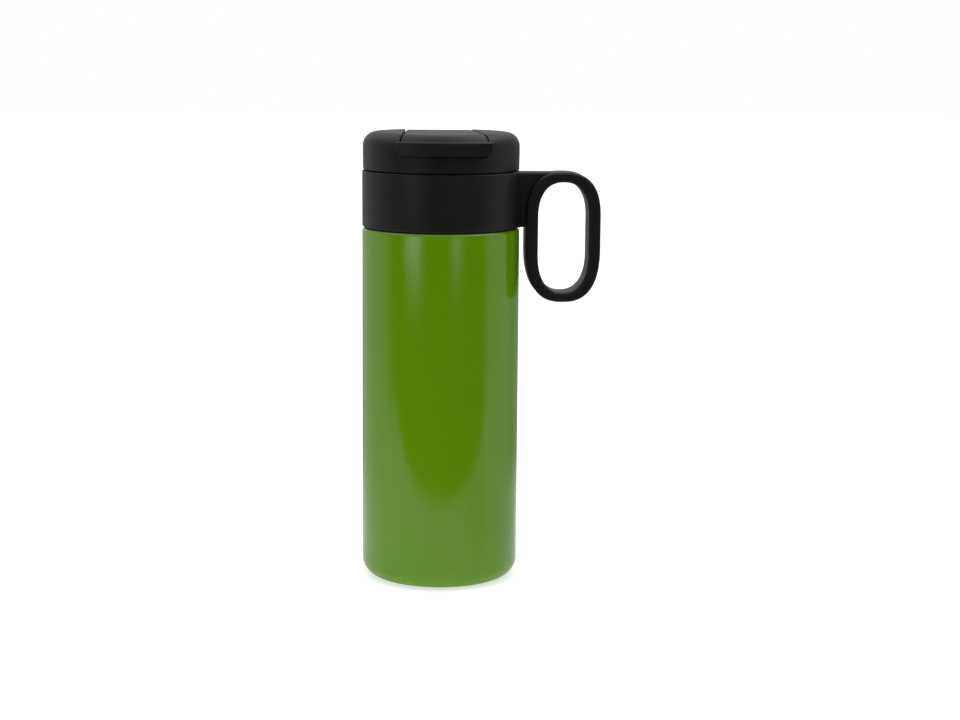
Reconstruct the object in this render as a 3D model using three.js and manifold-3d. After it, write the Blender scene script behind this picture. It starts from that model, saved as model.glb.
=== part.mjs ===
// Vacuum flask: a double-walled steel bottle with a black collar and loop handle, closed by a screw lid with
// a flip-up cap. Millimetres, +Z up. The origin is the centre of the base, on the bottle's axis. The handle
// points along +X, and the finger tab of the flip cap along -Y.
import * as THREE from "three";
import { mergeVertices } from "three/addons/utils/BufferGeometryUtils.js";
import Module from "manifold-3d";

const wasm = await Module();
wasm.setup();

// ---------------------------------------------------------------- driving dimensions

const BODY_R = 34; // painted shell
const TOTAL_H = 195;
const SHEET = 0.5; // steel wall
const SLACK = 0.3; // clearance between pieces that don't touch
const HAIR = 0.15; // clearance where a soft seal bears

// Base and walls.
const BASE_LIFT = 0.3; // the soft pad stands this far below the steel
const BASE_FILLET = 7.5;
const PAD_R = 24.3;
const PAD_H = 1.9;
const BOTTOM_Z = 2.7; // underside of the outer bottom disc
const LINER_R = 30.3; // inside of the inner vessel
const LINER_FLOOR_Z = 9.6;
const LINER_FILLET = 8;
const SHOULDER_Z = 153.9; // top of the painted shoulder
const SHOULDER_FILLET = 1.3;
const LIP_Z = 176; // rim of the steel mouth

// Neck, and the thread between the inner vessel and the lid.
const NECK_R = 27; // inside of the steel neck
const NECK_OUT_R = 29.2; // outside of the steel neck
const SEAT_R = 23; // ledge that the plug gasket presses on
const SEAT_Z = 157.3;
const BEAD_Z = 166; // rolled bead that the neck ring snaps over
const BEAD_H = 0.5;
const LEAD = 8; // rise per turn of the two-start thread
const STARTS = 2;
const THREAD_TURNS = 0.65; // length of each ridge
const THREAD_BASE_W = 1.7;
const THREAD_CREST_W = 0.9;
const FEMALE_CREST_R = 26;
const FEMALE_START_Z = 165.5;
const MALE_ROOT_R = 25.7;
const MALE_CREST_R = 26.7;
const MALE_DROP = 1.5; // the closed lid's thread sits this far under the neck's thread

// Collar and handle.
const COLLAR_R = 34.1;
const COLLAR_Z = [154.15, 178.35];
const COLLAR_WALL = 2.15;
const COLLAR_FLANGE_H = 1.8;
const COLLAR_MOUTH_R = 30.6;
const COLLAR_FOOT_FILLET = 0.8;
const COLLAR_TOP_FILLET = 0.4;
// Straight sides with superelliptic ends: extent along X and Z, height of the lower and upper end, exponent.
const LOOP = { x: [36.4, 68.85], z: [121.8, 178.1], ends: [24.3, 19.8], power: 2.55 };
const HOLE = { x: [41.7, 63.7], z: [125.9, 173.7], ends: [16.9, 15.4], power: 2.35 };
const LOOP_DEPTH = 15.5; // along Y
const LOOP_EDGE = 1.1; // rounding of the loop's edges
const BRACKET_DEPTH = 12;

// Lid.
const LID_R = 33.83;
const LID_FOOT_R = 33.7;
const LID_Z = 178.9;
const LID_FILLET = 6;
const LID_WALL = 2;
const FLOOR_Z = 190.2; // top of the channel that the flip cap lies in
const FLOOR_H = 1.8;
const CHANNEL_GAP = 0.4;
const CHANNEL_WALL = 1.6;
const SPOUT_Y = -16.2;
const SPOUT_HALF = 4.6; // the spout is a slot: two end circles this far either side of its middle
const SPOUT_R = 4.2;
const SPOUT_LIP = 0.8; // height of the lip round the spout
const VENT_Y = 9;
const VENT_R = 1.1;

// Threaded insert under the lid.
const INSERT_Z = [157.9, 186.3];
const INSERT_FLANGE_Z = 177.6;
const INSERT_TOP_R = 30.3;
const INSERT_WALL = 1.6;
const FOOT_R = 23.8;
const GROOVE_Z = [158.9, 161.9];
const GROOVE_R = 22.8;
const DUCT_WALL = 1.2;
const DUCT_TOP_Z = 187.3; // top of the drinking duct and the vent tube

// Flip cap and its hinge.
const HINGE_Y = 25;
const HINGE_Z = 191.4;
const PIN_R = 1.1;
const PIN_BORE_R = 1.2;
const PIN_LENGTH = 36;
const KNUCKLE_R = 3.3;
const CAP_DROP = 0.2; // the cap lies this far below the lid's top
const CAP_UNDER_Z = 191.8;
const CAP_MID_HALF = 15.85; // half-width of the strap at the axis
const CAP_TAPER = 0.0604; // half-width lost per millimetre towards the hinge
const FLARE_Y = [-24, -27.4]; // the strap widens between these places
const STRAP_FRONT_HALF = 18.5;
const TAB_HALF = 20.2;
const TAB_Z = [186.2, 192];
const TAB_FRONT_Y = -36.4;
const TAB_FACE_R = 48;
const TAB_EDGE = 0.8; // rounding of the face's upper edge
const TAB_LOW_EDGE = 0.25;
const TAB_CORNER = 3.4;
const RECESS_HALF = 19.4; // finger recess in the lid's skirt behind the tab
const RECESS_DEPTH = 1;
const RECESS_Z = [TAB_Z[0] - 0.95, TAB_Z[0] + 2.6];

const LATHE_SEGMENTS = 48;
const SMALL_SEGMENTS = 20;

// ---------------------------------------------------------------- materials

const material = (color, roughness, metalness = 0) =>
  new THREE.MeshStandardMaterial({ color, roughness, metalness });
const greenPaint = material(0x5c8a0c, 0.3);
const blackPlastic = material(0x1c1c1b, 0.55);
const steel = material(0xb9bcbd, 0.3, 1);
const clearSilicone = material(0xd8d8d2, 0.6);
const greySilicone = material(0x55575a, 0.7);
const blackSilicone = material(0x242424, 0.8);
const foam = material(0xf2f1ec, 0.95);
const zirconium = material(0x6d6c70, 0.8, 0.4);
const sealGlass = material(0x4c5b52, 0.15);

// ---------------------------------------------------------------- shape helpers

const radians = THREE.MathUtils.degToRad;
const point = (r, z) => new THREE.Vector2(r, z);

// A closed mesh as a manifold-3d solid, without the collapsed triangles that a lathe leaves on its axis.
function solid(geometry) {
  const bare = geometry.clone();
  bare.deleteAttribute("normal");
  bare.deleteAttribute("uv");
  const merged = mergeVertices(bare, 1e-4);
  const index = merged.index.array;
  const kept = [];
  for (let i = 0; i < index.length; i += 3) {
    const [a, b, c] = index.slice(i, i + 3);
    if (a !== b && b !== c && a !== c) kept.push(a, b, c);
  }
  return new wasm.Manifold(
    new wasm.Mesh({
      numProp: 3,
      vertProperties: merged.attributes.position.array,
      triVerts: new Uint32Array(kept),
    }),
  );
}

function geometryOf(manifold) {
  const mesh = manifold.getMesh();
  const geometry = new THREE.BufferGeometry();
  geometry.setAttribute("position", new THREE.BufferAttribute(mesh.vertProperties, 3));
  geometry.setIndex(new THREE.BufferAttribute(mesh.triVerts, 1));
  geometry.computeVertexNormals();
  return geometry;
}

// Points of an arc in the (r, z) plane, angles in degrees, counter-clockwise when `to` is above `from`.
function arc(centreR, centreZ, radius, from, to, steps) {
  return Array.from({ length: steps + 1 }, (_, i) => {
    const angle = radians(from + ((to - from) * i) / steps);
    return point(centreR + radius * Math.cos(angle), centreZ + radius * Math.sin(angle));
  });
}

// Turns an (r, z) profile round the Z axis. Profiles run up their outside and down their inside.
function turned(profile, segments = LATHE_SEGMENTS) {
  return solid(new THREE.LatheGeometry(profile, segments).rotateX(Math.PI / 2));
}

// A turned ring: the profile closes on itself.
const turnedRing = (profile, segments) => turned([...profile, profile[0]], segments);

const washer = (inner, outer, low, high, segments) =>
  turnedRing([point(outer, low), point(outer, high), point(inner, high), point(inner, low)], segments);

const puck = (radius, low, high, segments) =>
  turned([point(0, low), point(radius, low), point(radius, high), point(0, high)], segments);

// An outline in (x, y) standing from one height to another.
function upright(shape, low, high) {
  const options = { depth: high - low, bevelEnabled: false, curveSegments: 8 };
  return solid(new THREE.ExtrudeGeometry(shape, options).translate(0, 0, low));
}

// An outline in (x, z) running along Y, centred on the plane y = 0.
function across(shape, depth, bevel = 0) {
  const geometry = new THREE.ExtrudeGeometry(shape, {
    depth: depth - 2 * bevel,
    bevelEnabled: bevel > 0,
    bevelThickness: bevel,
    bevelSize: bevel,
    bevelOffset: -bevel,
    bevelSegments: 2,
    curveSegments: 6,
  });
  return solid(geometry.translate(0, 0, bevel - depth / 2).rotateX(Math.PI / 2));
}

// A round bar along X.
function barX(radius, length, y, z, segments = SMALL_SEGMENTS) {
  const geometry = new THREE.CylinderGeometry(radius, radius, length, segments).rotateZ(Math.PI / 2);
  return solid(geometry.translate(0, y, z));
}

const outline = (...corners) => new THREE.Shape(corners.map(([x, y]) => new THREE.Vector2(x, y)));

// A slot: a bar with round ends, lying along X.
function slot(half, radius, y) {
  const shape = new THREE.Shape();
  shape.absarc(half, y, radius, -Math.PI / 2, Math.PI / 2);
  shape.absarc(-half, y, radius, Math.PI / 2, (3 * Math.PI) / 2);
  return shape;
}

// Outline of the handle's loop, or of the hole in it.
function loopOutline({ x: [x0, x1], z: [z0, z1], ends: [low, high], power }, count = 44) {
  const bulge = (v) => Math.sign(v) * Math.abs(v) ** (2 / power);
  const end = (from, centreZ, reach) => Array.from({ length: count / 2 + 1 }, (_, i) => {
    const angle = from + (2 * Math.PI * i) / count;
    const x = (x0 + x1) / 2 + ((x1 - x0) / 2) * bulge(Math.cos(angle));
    return point(x, centreZ + reach * bulge(Math.sin(angle)));
  });
  return [...end(0, z1 - high, high), ...end(Math.PI, z0 + low, low)];
}

// One right-hand thread ridge as a closed solid. It stands on rootR, sinks a little into the wall, and fades
// at its ends.
function threadRidge(rootR, crestR, startZ) {
  const stepAngle = (2 * Math.PI) / LATHE_SEGMENTS;
  const steps = Math.round(THREAD_TURNS * LATHE_SEGMENTS);
  const fadeSteps = 3;
  const sunkR = rootR + Math.sign(rootR - crestR) * 0.25;
  const corners = [];
  for (let i = 0; i <= steps; i++) {
    const angle = i * stepAngle;
    const z = startZ + (LEAD * angle) / (2 * Math.PI);
    const height = Math.min(1, Math.max(0.15, Math.min(i, steps - i) / fadeSteps));
    const tipR = rootR + (crestR - rootR) * height;
    const section = [
      [sunkR, -THREAD_BASE_W / 2],
      [tipR, -THREAD_CREST_W / 2],
      [tipR, THREAD_CREST_W / 2],
      [sunkR, THREAD_BASE_W / 2],
    ];
    for (const [r, rise] of section) corners.push(r * Math.cos(angle), r * Math.sin(angle), z + rise);
  }
  const faces = [];
  const quad = (a, b, c, d) => faces.push(a, b, c, a, c, d);
  for (let i = 0; i < steps; i++)
    for (let k = 0; k < 4; k++) {
      const next = (k + 1) % 4;
      quad(4 * i + k, 4 * i + next, 4 * (i + 1) + next, 4 * (i + 1) + k);
    }
  quad(3, 2, 1, 0);
  quad(4 * steps, 4 * steps + 1, 4 * steps + 2, 4 * steps + 3);
  if (crestR > rootR) faces.reverse();
  const geometry = new THREE.BufferGeometry();
  geometry.setAttribute("position", new THREE.Float32BufferAttribute(corners, 3));
  geometry.setIndex(faces);
  return solid(geometry);
}

// The thread's ridges, evenly spaced round the axis, added to a wall.
function threaded(wall, rootR, crestR, startZ) {
  let whole = wall;
  for (let k = 0; k < STARTS; k++)
    whole = whole.add(threadRidge(rootR, crestR, startZ).rotate(0, 0, (360 * k) / STARTS));
  return whole;
}

// ---------------------------------------------------------------- bottle

// Painted shell: a tube with a turned-in foot, a rounded base, a shoulder and a neck with a snap bead.
function outerShell() {
  const footR = PAD_R + SLACK;
  const baseR = BODY_R - BASE_FILLET;
  const baseZ = BASE_LIFT + BASE_FILLET;
  const shoulderR = BODY_R - SHOULDER_FILLET;
  const shoulderZ = SHOULDER_Z - SHOULDER_FILLET;
  const neckTop = LIP_Z - SHEET - 0.2;
  const outside = [
    point(footR, BASE_LIFT + SHEET),
    point(footR + SHEET, BASE_LIFT),
    ...arc(baseR, baseZ, BASE_FILLET, -90, 0, 6),
    ...arc(shoulderR, shoulderZ, SHOULDER_FILLET, 0, 90, 2),
    point(NECK_OUT_R + SHEET, SHOULDER_Z),
    point(NECK_OUT_R, SHOULDER_Z + SHEET),
    point(NECK_OUT_R, BEAD_Z - 1),
    point(NECK_OUT_R + BEAD_H, BEAD_Z),
    point(NECK_OUT_R, BEAD_Z + 1),
    point(NECK_OUT_R, neckTop),
  ];
  const inside = [
    point(NECK_OUT_R - SHEET, neckTop),
    point(NECK_OUT_R - SHEET, SHOULDER_Z - SHEET),
    ...arc(shoulderR, shoulderZ, SHOULDER_FILLET - SHEET, 90, 0, 2),
    ...arc(baseR, baseZ, BASE_FILLET - SHEET, 0, -90, 6),
    point(footR + SHEET, BASE_LIFT + SHEET),
    point(footR + SHEET, BOTTOM_Z - 0.1),
    point(footR, BOTTOM_Z - 0.1),
  ];
  return turnedRing([...outside, ...inside]);
}

// Steel disc that closes the shell. Its dimple has the hole that the air was drawn out through.
function outerBottom() {
  const top = BOTTOM_Z + SHEET;
  const dimple = 1.2;
  const holeR = 0.7;
  return turnedRing([
    point(4.2, BOTTOM_Z),
    point(PAD_R + 1.5, BOTTOM_Z),
    point(PAD_R + 1.5, top),
    point(5, top),
    point(4.4, top + dimple),
    point(holeR, top + dimple),
    point(holeR, BOTTOM_Z + dimple),
    point(3.8, BOTTOM_Z + dimple),
  ], 32);
}

// Glass bead that plugs the hole and keeps the vacuum.
function vacuumSeal() {
  const ceiling = BOTTOM_Z + 1.1;
  return turned([
    point(0, BOTTOM_Z + 0.1),
    point(1.8, BOTTOM_Z + 0.25),
    point(2.9, ceiling - 0.3),
    point(2.9, ceiling),
    point(0.5, ceiling),
    point(0.5, ceiling + 0.5),
    point(0, ceiling + 0.5),
  ], SMALL_SEGMENTS);
}

// Inner vessel: rounded floor, straight wall, a ledge for the plug gasket, and a threaded neck with a
// turned-out lip.
function innerVessel() {
  const floorR = LINER_R - LINER_FILLET;
  const floorZ = LINER_FLOOR_Z + LINER_FILLET;
  const bendZ = 142;
  const waistZ = SEAT_Z - 1.6;
  const outside = [
    point(0, LINER_FLOOR_Z - SHEET),
    ...arc(floorR, floorZ, LINER_FILLET + SHEET, -90, 0, 6),
    point(LINER_R + SHEET, bendZ),
    point(SEAT_R + 2.8, waistZ - 3.3),
    point(SEAT_R + SHEET, waistZ),
    point(SEAT_R + SHEET, SEAT_Z - SHEET),
    point(NECK_R + SHEET, SEAT_Z - SHEET),
    point(NECK_R + SHEET, LIP_Z - SHEET),
    point(NECK_OUT_R + 0.1, LIP_Z - SHEET),
    point(NECK_OUT_R + 0.1, LIP_Z),
  ];
  const inside = [
    point(NECK_R + 0.4, LIP_Z),
    point(NECK_R, LIP_Z - 0.4),
    point(NECK_R, SEAT_Z + 0.2),
    point(NECK_R - 0.3, SEAT_Z),
    point(SEAT_R, SEAT_Z),
    point(SEAT_R, waistZ),
    point(SEAT_R + 2.3, waistZ - 3.4),
    point(LINER_R, bendZ),
    ...arc(floorR, floorZ, LINER_FILLET, 0, -90, 6),
    point(0, LINER_FLOOR_Z),
  ];
  return threaded(turned([...outside, ...inside]), NECK_R, FEMALE_CREST_R, FEMALE_START_Z);
}

// Spring clip welded under the inner vessel. It holds the getter, which soaks up stray gas in the vacuum.
function getterClip() {
  const top = LINER_FLOOR_Z - SHEET - 0.2;
  const leg = 3.7;
  const gauge = 0.4;
  const jaw = 4.5; // half the room between the legs
  return across(
    outline(
      [-9, top], [-9, top - gauge], [-jaw - gauge, top - gauge], [-jaw - gauge, top - leg],
      [-jaw + 1, top - leg], [-jaw + 1, top - leg + gauge], [-jaw, top - leg + gauge], [-jaw, top - gauge],
      [jaw, top - gauge], [jaw, top - leg + gauge], [jaw - 1, top - leg + gauge], [jaw - 1, top - leg],
      [jaw + gauge, top - leg], [jaw + gauge, top - gauge], [9, top - gauge], [9, top],
    ),
    6,
  );
}

function getterTablet() {
  const top = LINER_FLOOR_Z - SHEET - 0.9;
  return puck(4.2, top - 2.2, top, 24);
}

// ---------------------------------------------------------------- collar and handle

// One moulding: the sleeve round the neck, the bracket that stands out of it, and the loop to hold it by.
function handleCollar() {
  const [foot, top] = COLLAR_Z;
  const wallR = COLLAR_R - COLLAR_WALL;
  const flangeZ = top - COLLAR_FLANGE_H;
  const sleeve = turnedRing([
    point(wallR, foot),
    ...arc(COLLAR_R - COLLAR_FOOT_FILLET, foot + COLLAR_FOOT_FILLET, COLLAR_FOOT_FILLET, -90, 0, 2),
    ...arc(COLLAR_R - COLLAR_TOP_FILLET, top - COLLAR_TOP_FILLET, COLLAR_TOP_FILLET, 0, 90, 1),
    point(COLLAR_MOUTH_R, top),
    point(COLLAR_MOUTH_R, flangeZ),
    point(wallR, flangeZ),
  ]);
  const loopShape = new THREE.Shape(loopOutline(LOOP));
  loopShape.holes.push(new THREE.Path(loopOutline(HOLE)));
  const loop = across(loopShape, LOOP_DEPTH, LOOP_EDGE);
  const middle = (key) => LOOP[key].map((v, i) => (v + HOLE[key][i]) / 2);
  const bandMiddle = { x: middle("x"), z: middle("z"), ends: middle("ends"), power: LOOP.power };
  const insideBand = across(new THREE.Shape(loopOutline(bandMiddle)), LOOP_DEPTH);
  const from = COLLAR_R - COLLAR_WALL / 2;
  const to = (LOOP.x[0] + LOOP.x[1]) / 2;
  const plateTop = LOOP.z[1] - 0.1;
  const plate = outline([from, foot], [to, foot], [to, plateTop], [from, plateTop]);
  const bracket = across(plate, BRACKET_DEPTH).subtract(insideBand);
  return sleeve.add(bracket).add(loop);
}

// Nylon ring that snaps over the bead on the steel neck and carries the collar.
function neckRing() {
  const inner = NECK_OUT_R + 0.25;
  const outer = COLLAR_R - COLLAR_WALL - 0.25;
  const top = COLLAR_Z[1] - COLLAR_FLANGE_H - 0.25;
  const grooveR = NECK_OUT_R + BEAD_H + SLACK;
  return turnedRing([
    point(inner, SHOULDER_Z + 0.8),
    point(outer, SHOULDER_Z + 0.8),
    point(outer, top),
    point(inner, top),
    point(inner, BEAD_Z + 1.4),
    point(grooveR, BEAD_Z + 0.8),
    point(grooveR, BEAD_Z - 0.8),
    point(inner, BEAD_Z - 1.4),
  ]);
}

// Silicone ring under the neck ring. It fills the gap above the painted shoulder.
function collarSeal() {
  const low = SHOULDER_Z + 0.1;
  return washer(NECK_OUT_R + 0.6, COLLAR_R - COLLAR_WALL - 0.35, low, low + 0.55);
}

// ---------------------------------------------------------------- lid

const strapHalf = (y) => CAP_MID_HALF - CAP_TAPER * y;

// Plan of the strap grown by a margin: tapering towards the hinge, flared at the tab, and open past its ends.
function strapPlan(margin, backY) {
  const right = [
    [strapHalf(backY) + margin, backY],
    [strapHalf(FLARE_Y[0]) + margin, FLARE_Y[0]],
    [STRAP_FRONT_HALF + margin, FLARE_Y[1]],
    [STRAP_FRONT_HALF + margin, -40],
  ];
  const left = right.map(([x, y]) => [-x, y]).reverse();
  return outline(...right, ...left);
}

// The lid's outer form, lowered by a drop, down to a given height.
function lidForm(drop, low) {
  const cornerR = LID_R - LID_FILLET;
  const cornerZ = TOTAL_H - LID_FILLET - drop;
  return [
    point(0, low),
    point(low > LID_Z ? LID_R : LID_FOOT_R - 0.3, low),
    ...(low > LID_Z ? [] : [point(LID_FOOT_R, low + 0.3)]),
    ...arc(cornerR, cornerZ, LID_FILLET, 0, 90, 6),
    point(0, TOTAL_H - drop),
  ];
}

// A plate with rounded lower corners that reaches forward from the axis.
function frontPlate(half, low, high) {
  const plate = new THREE.Shape();
  plate.absarc(half - TAB_CORNER, low + TAB_CORNER, TAB_CORNER, -Math.PI / 2, 0);
  plate.lineTo(half, high);
  plate.lineTo(-half, high);
  plate.absarc(TAB_CORNER - half, low + TAB_CORNER, TAB_CORNER, Math.PI, 1.5 * Math.PI);
  return across(plate, 100).translate(0, -50, 0);
}

// The moulded top: skirt, two cheeks, and between them the channel with the spout and the vent.
function lidShell() {
  const innerR = LID_R - LID_WALL;
  const innerCorner = LID_FILLET - LID_WALL;
  const ceiling = TOTAL_H - LID_WALL;
  const hollow = turned([
    point(0, LID_Z - 1),
    point(innerR, LID_Z - 1),
    ...arc(innerR - innerCorner, ceiling - innerCorner, innerCorner, 0, 90, 3),
    point(0, ceiling),
  ]);
  const wide = CHANNEL_GAP + CHANNEL_WALL;
  const past = 50; // further back than the lid reaches
  const trayBlock = upright(strapPlan(wide, past), FLOOR_Z - FLOOR_H, TOTAL_H + 1)
    .add(barX(KNUCKLE_R + SLACK + 1.3, 2 * (strapHalf(HINGE_Y) + wide), HINGE_Y, HINGE_Z))
    .add(barX(PIN_BORE_R + 1.5, PIN_LENGTH + 3, HINGE_Y, HINGE_Z))
    .add(washer(INSERT_TOP_R - INSERT_WALL, INSERT_TOP_R, INSERT_Z[1] + 0.2, TOTAL_H - LID_WALL + 0.5));
  const channel = upright(strapPlan(CHANNEL_GAP, past), FLOOR_Z, TOTAL_H + 1)
    .add(barX(KNUCKLE_R + SLACK, 2 * (strapHalf(HINGE_Y) + CHANNEL_GAP), HINGE_Y, HINGE_Z, 28));
  const spoutLip = upright(slot(SPOUT_HALF, SPOUT_R + 1.4, SPOUT_Y), FLOOR_Z - 0.1, FLOOR_Z + SPOUT_LIP);
  const ventLip = puck(2.5, FLOOR_Z - 0.1, FLOOR_Z + 0.6, SMALL_SEGMENTS).translate(0, VENT_Y, 0);
  const spoutHole = upright(slot(SPOUT_HALF, SPOUT_R, SPOUT_Y), FLOOR_Z - 3, FLOOR_Z + 2);
  const ventHole = puck(VENT_R, FLOOR_Z - 3, FLOOR_Z + 2, SMALL_SEGMENTS).translate(0, VENT_Y, 0);
  const fingerRecess = frontPlate(RECESS_HALF, ...RECESS_Z)
    .subtract(puck(LID_R - RECESS_DEPTH, RECESS_Z[0] - 1, RECESS_Z[1] + 1));
  return turned(lidForm(0, LID_Z))
    .subtract(hollow.subtract(trayBlock))
    .subtract(channel)
    .subtract(fingerRecess)
    .add(spoutLip)
    .add(ventLip)
    .subtract(spoutHole)
    .subtract(ventHole)
    .subtract(barX(PIN_BORE_R, PIN_LENGTH + 1, HINGE_Y, HINGE_Z));
}

// Threaded plug under the lid: a cup with a drinking duct and a vent tube through it, and a gasket groove.
function lidInsert() {
  const [foot, top] = INSERT_Z;
  const floor = foot + INSERT_WALL;
  const shelf = INSERT_FLANGE_Z + INSERT_WALL;
  const cup = turned([
    point(0, foot),
    point(FOOT_R - 0.5, foot),
    point(FOOT_R, foot + 0.5),
    point(FOOT_R, GROOVE_Z[0]),
    point(GROOVE_R, GROOVE_Z[0]),
    point(GROOVE_R, GROOVE_Z[1]),
    point(MALE_ROOT_R, GROOVE_Z[1]),
    point(MALE_ROOT_R, INSERT_FLANGE_Z),
    point(INSERT_TOP_R, INSERT_FLANGE_Z),
    point(INSERT_TOP_R, top),
    point(INSERT_TOP_R - INSERT_WALL, top),
    point(INSERT_TOP_R - INSERT_WALL, shelf),
    point(MALE_ROOT_R - INSERT_WALL, shelf),
    point(MALE_ROOT_R - INSERT_WALL, GROOVE_Z[1] + INSERT_WALL),
    point(GROOVE_R - INSERT_WALL, GROOVE_Z[1] + INSERT_WALL),
    point(GROOVE_R - INSERT_WALL, floor),
    point(0, floor),
  ]);
  const duct = upright(slot(SPOUT_HALF, SPOUT_R + DUCT_WALL, SPOUT_Y), foot, DUCT_TOP_Z);
  const ventTube = puck(VENT_R + DUCT_WALL, foot, DUCT_TOP_Z, SMALL_SEGMENTS).translate(0, VENT_Y, 0);
  return threaded(cup.add(duct).add(ventTube), MALE_ROOT_R, MALE_CREST_R, FEMALE_START_Z - MALE_DROP)
    .subtract(upright(slot(SPOUT_HALF, SPOUT_R, SPOUT_Y), foot - 1, DUCT_TOP_Z + 1))
    .subtract(puck(VENT_R, foot - 1, DUCT_TOP_Z + 1, SMALL_SEGMENTS).translate(0, VENT_Y, 0));
}

// Insulating foam that fills the plug round the duct and the vent tube.
function lidFoam() {
  const gap = INSERT_WALL + SLACK;
  const floor = INSERT_Z[0] + gap;
  const step = GROOVE_Z[1] + gap;
  const shelf = INSERT_FLANGE_Z + gap;
  const top = INSERT_Z[1] - SLACK;
  const ductRoom = upright(slot(SPOUT_HALF, SPOUT_R + DUCT_WALL + SLACK, SPOUT_Y), floor - 1, top + 1);
  const ventRoomR = VENT_R + DUCT_WALL + SLACK;
  const ventRoom = puck(ventRoomR, floor - 1, top + 1, SMALL_SEGMENTS).translate(0, VENT_Y, 0);
  return turned([
    point(0, floor),
    point(GROOVE_R - gap, floor),
    point(GROOVE_R - gap, step),
    point(MALE_ROOT_R - gap, step),
    point(MALE_ROOT_R - gap, shelf),
    point(INSERT_TOP_R - gap, shelf),
    point(INSERT_TOP_R - gap, top),
    point(0, top),
  ])
    .subtract(ductRoom)
    .subtract(ventRoom);
}

// Silicone gasket in the plug's groove. Its lip bears on the ledge in the steel neck.
function plugGasket() {
  const low = SEAT_Z + HAIR;
  return turnedRing([
    point(GROOVE_R + SLACK, GROOVE_Z[0] + HAIR),
    point(FOOT_R + SLACK, GROOVE_Z[0] + HAIR),
    point(FOOT_R + 0.5, low),
    point(25.2, low),
    point(25.65, low + 1.2),
    point(25.5, GROOVE_Z[1] - HAIR),
    point(GROOVE_R + SLACK, GROOVE_Z[1] - HAIR),
  ]);
}

// Flat ring under the insert's flange. It bears on the steel lip and keeps drips out of the collar.
const rimGasket = () => washer(MALE_ROOT_R + SLACK, NECK_OUT_R, LIP_Z + HAIR, INSERT_FLANGE_Z - HAIR);

// Flat gasket between the tray and the tops of the duct and the vent tube, with a hole for each.
function ductGasket() {
  const low = DUCT_TOP_Z + HAIR;
  const high = FLOOR_Z - FLOOR_H - HAIR;
  const sheet = outline([-10, -21.5], [10, -21.5], [10, -10], [3, VENT_Y + 3], [-3, VENT_Y + 3], [-10, -10]);
  return upright(sheet, low, high)
    .subtract(upright(slot(SPOUT_HALF, SPOUT_R, SPOUT_Y), low - 1, high + 1))
    .subtract(puck(VENT_R, low - 1, high + 1, SMALL_SEGMENTS).translate(0, VENT_Y, 0));
}

// ---------------------------------------------------------------- flip cap

// The strap lies flush in the lid's channel. A finger tab hangs over the front, a knuckle turns on the pin.
function flipCap() {
  const rimUnderZ = FLOOR_Z + 0.4;
  const strap = turned(lidForm(CAP_DROP, LID_Z))
    .subtract(puck(29.4, LID_Z - 1, CAP_UNDER_Z))
    .intersect(upright(strapPlan(0, HINGE_Y), rimUnderZ, TOTAL_H + 1));
  const tabCentreY = TAB_FRONT_Y + TAB_FACE_R;
  const tabFace = turned([
    point(0, TAB_Z[0]),
    ...arc(TAB_FACE_R - TAB_LOW_EDGE, TAB_Z[0] + TAB_LOW_EDGE, TAB_LOW_EDGE, -90, 0, 1),
    ...arc(TAB_FACE_R - TAB_EDGE, TAB_Z[1] - TAB_EDGE, TAB_EDGE, 0, 90, 2),
    point(0, TAB_Z[1]),
  ], 96).translate(0, tabCentreY, 0);
  const lidRoom = puck(LID_R + 0.5, TAB_Z[0] - 1, TAB_Z[1] + 1)
    .subtract(upright(strapPlan(0, -20), rimUnderZ, TAB_Z[1] + 2));
  const tab = tabFace
    .intersect(frontPlate(TAB_HALF, TAB_Z[0], TAB_Z[1] + 1))
    .subtract(lidRoom)
    .subtract(puck(LID_R - 1.5, TAB_Z[0] - 1, TAB_Z[1] + 1));
  const boss = upright(slot(SPOUT_HALF, SPOUT_R - 1.5, SPOUT_Y), FLOOR_Z - 1.8, CAP_UNDER_Z + 0.1);
  const ventSocket = puck(1.15, CAP_UNDER_Z - 1, CAP_UNDER_Z + 1.7, SMALL_SEGMENTS).translate(0, VENT_Y, 0);
  return strap
    .add(tab)
    .add(barX(KNUCKLE_R, 2 * strapHalf(HINGE_Y), HINGE_Y, HINGE_Z, 28))
    .add(boss)
    .subtract(ventSocket)
    .subtract(barX(PIN_BORE_R, PIN_LENGTH, HINGE_Y, HINGE_Z));
}

// Silicone stopper pulled over the cap's boss. It closes the spout, and its flange seals on the lip.
function spoutStopper() {
  const low = FLOOR_Z - 3;
  const seatZ = FLOOR_Z + SPOUT_LIP + HAIR;
  const body = upright(slot(SPOUT_HALF, SPOUT_R - 0.35, SPOUT_Y), low, seatZ + 0.1);
  const flange = upright(slot(SPOUT_HALF, SPOUT_R + 1, SPOUT_Y), seatZ, CAP_UNDER_Z - HAIR);
  const room = upright(slot(SPOUT_HALF, SPOUT_R - 1.3, SPOUT_Y), FLOOR_Z - 1.95, CAP_UNDER_Z + 1);
  return body.add(flange).subtract(room);
}

// Silicone button that covers the vent, held by its stem in the cap.
function ventStopper() {
  const low = FLOOR_Z + 0.75;
  return turned([
    point(0, FLOOR_Z - 0.4),
    point(0.6, FLOOR_Z - 0.4),
    point(0.75, low),
    point(2.3, low),
    point(2.3, CAP_UNDER_Z - HAIR),
    point(0.9, CAP_UNDER_Z - HAIR),
    point(0.9, CAP_UNDER_Z + 1.4),
    point(0, CAP_UNDER_Z + 1.4),
  ], SMALL_SEGMENTS);
}

// ---------------------------------------------------------------- assembly

const flask = new THREE.Group();
const bottle = new THREE.Group();
const lid = new THREE.Group();
const cap = new THREE.Group();
flask.add(bottle, lid);
lid.add(cap);

function add(group, name, shape, finish, place = [0, 0, 0]) {
  const mesh = new THREE.Mesh(geometryOf(shape), finish);
  mesh.name = name;
  mesh.position.set(...place);
  group.add(mesh);
}

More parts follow.
